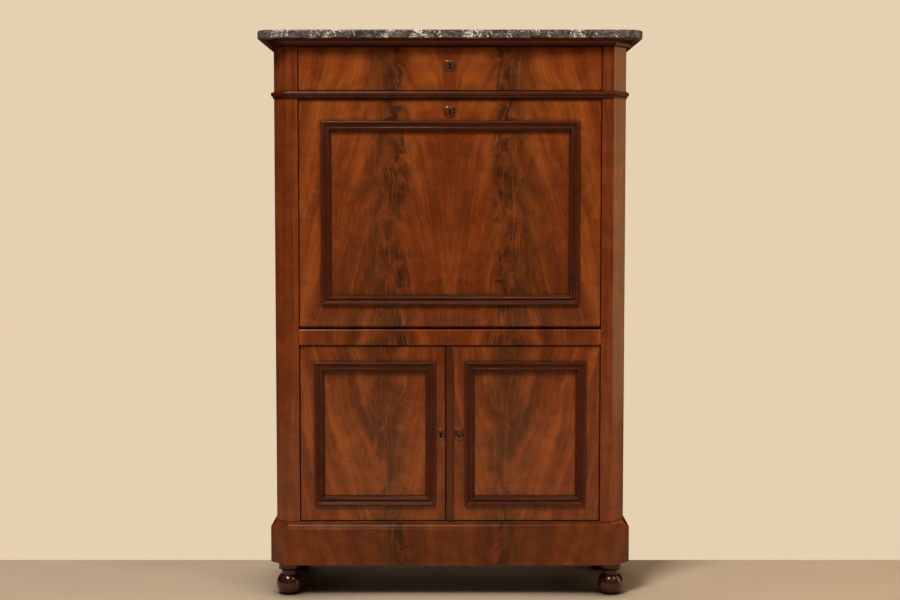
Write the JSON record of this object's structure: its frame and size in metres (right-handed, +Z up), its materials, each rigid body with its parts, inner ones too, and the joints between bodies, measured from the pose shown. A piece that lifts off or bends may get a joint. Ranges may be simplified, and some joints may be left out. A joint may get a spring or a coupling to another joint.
{
  "type": "secretary desk",
  "caption": "Fall-front secretary desk with a marble top, a frieze drawer, a falling writing flap over a nest of small drawers, and a two-door cupboard on a plinth with ball feet.",
  "frame": {"origin": "on the floor, at the middle of the footprint's bounding box", "axes": "+X to the right as seen from the front, +Y to the back, +Z up"},
  "size_m": [1.024, 0.4, 1.52],
  "materials": {
    "marble": "dark grey marble with pale flecks and veins, honed and waxed",
    "moulding": "almost black-brown stained wood, glossy French polish",
    "veneer": "flame mahogany veneer, glossy French polish",
    "plinth": "darker mahogany veneer, glossy French polish",
    "carcase_wood": "plain softwood, dull and stained",
    "drawer_wood": "plain pale hardwood, unpolished",
    "feet": "turned reddish dark hardwood, glossy French polish",
    "leather": "dark green writing leather with a gilt line border",
    "brass": "old brass, dark and tarnished",
    "iron": "dark forged iron"
  },
  "bodies": {
    "carcase": {"marble_top": "marble", "cornice": "moulding", "top_board": "carcase_wood", "waist_moulding": "moulding", "frieze_dust_board": "carcase_wood", "left_side_panel": "veneer", "right_side_panel": "veneer", "left_corner_post": "veneer", "right_corner_post": "veneer", "left_lining": "carcase_wood", "right_lining": "carcase_wood", "writing_deck": "carcase_wood", "middle_rail": "veneer", "cupboard_shelf": "carcase_wood", "bottom_board": "carcase_wood", "back_panel": "carcase_wood", "plinth_front": "plinth", "plinth_left": "plinth", "plinth_right": "plinth", "left_front_foot": "feet", "right_front_foot": "feet", "left_back_foot": "feet", "right_back_foot": "feet", "nest_shelf": "carcase_wood", "nest_upper_shelf": "carcase_wood", "nest_left_case": "carcase_wood", "nest_right_case": "carcase_wood"},
    "frieze_drawer": {"drawer_front": "veneer", "drawer_left_side": "drawer_wood", "drawer_right_side": "drawer_wood", "drawer_back": "drawer_wood", "drawer_bottom": "drawer_wood", "drawer_lock": "iron", "drawer_escutcheon": "brass"},
    "fall": {"fall_frame": "veneer", "fall_panel": "veneer", "fall_moulding": "moulding", "fall_leather": "leather", "fall_lock": "iron", "fall_escutcheon": "brass", "fall_left_lever": "iron", "fall_right_lever": "iron"},
    "left_door": {"left_door_frame": "veneer", "left_door_panel": "veneer", "left_door_moulding": "moulding", "left_door_escutcheon": "brass", "left_door_upper_pivot": "brass", "left_door_lower_pivot": "brass"},
    "right_door": {"right_door_frame": "veneer", "right_door_panel": "veneer", "right_door_moulding": "moulding", "right_door_escutcheon": "brass", "right_door_upper_pivot": "brass", "right_door_lower_pivot": "brass", "door_astragal": "veneer", "door_lock": "iron"},
    "nest_left_lower_drawer": {"nest_left_lower_drawer": "drawer_wood"},
    "nest_left_upper_drawer": {"nest_left_upper_drawer": "drawer_wood"},
    "nest_right_lower_drawer": {"nest_right_lower_drawer": "drawer_wood"},
    "nest_right_upper_drawer": {"nest_right_upper_drawer": "drawer_wood"}
  },
  "joints": [
    {"name": "frieze_drawer_slide", "type": "slide", "parent": "carcase", "child": "frieze_drawer", "axis": [0, -1, 0], "range_m": [0, 0.19]},
    {"name": "fall_hinge", "type": "hinge", "parent": "carcase", "child": "fall", "pos_m": [0, -0.146, 0.741], "axis": [1, 0, 0], "range_deg": [0, 90]},
    {"name": "left_door_hinge", "type": "hinge", "parent": "carcase", "child": "left_door", "pos_m": [-0.389, -0.1545, 0.444], "axis": [0, 0, -1], "range_deg": [0, 110]},
    {"name": "right_door_hinge", "type": "hinge", "parent": "carcase", "child": "right_door", "pos_m": [0.389, -0.1545, 0.444], "axis": [0, 0, 1], "range_deg": [0, 110]},
    {"name": "nest_left_lower_drawer_slide", "type": "slide", "parent": "carcase", "child": "nest_left_lower_drawer", "axis": [0, -1, 0], "range_m": [0, 0.104]},
    {"name": "nest_left_upper_drawer_slide", "type": "slide", "parent": "carcase", "child": "nest_left_upper_drawer", "axis": [0, -1, 0], "range_m": [0, 0.175]},
    {"name": "nest_right_lower_drawer_slide", "type": "slide", "parent": "carcase", "child": "nest_right_lower_drawer", "axis": [0, -1, 0], "range_m": [0, 0.104]},
    {"name": "nest_right_upper_drawer_slide", "type": "slide", "parent": "carcase", "child": "nest_right_upper_drawer", "axis": [0, -1, 0], "range_m": [0, 0.175]}
  ],
  "couplings": [
    {"joint": "nest_left_lower_drawer_slide", "follows": "fall_hinge", "m_per_rad": 0.065},
    {"joint": "nest_left_upper_drawer_slide", "follows": "fall_hinge", "m_per_rad": 0.11},
    {"joint": "nest_right_lower_drawer_slide", "follows": "fall_hinge", "m_per_rad": 0.065},
    {"joint": "nest_right_upper_drawer_slide", "follows": "fall_hinge", "m_per_rad": 0.11}
  ]
}
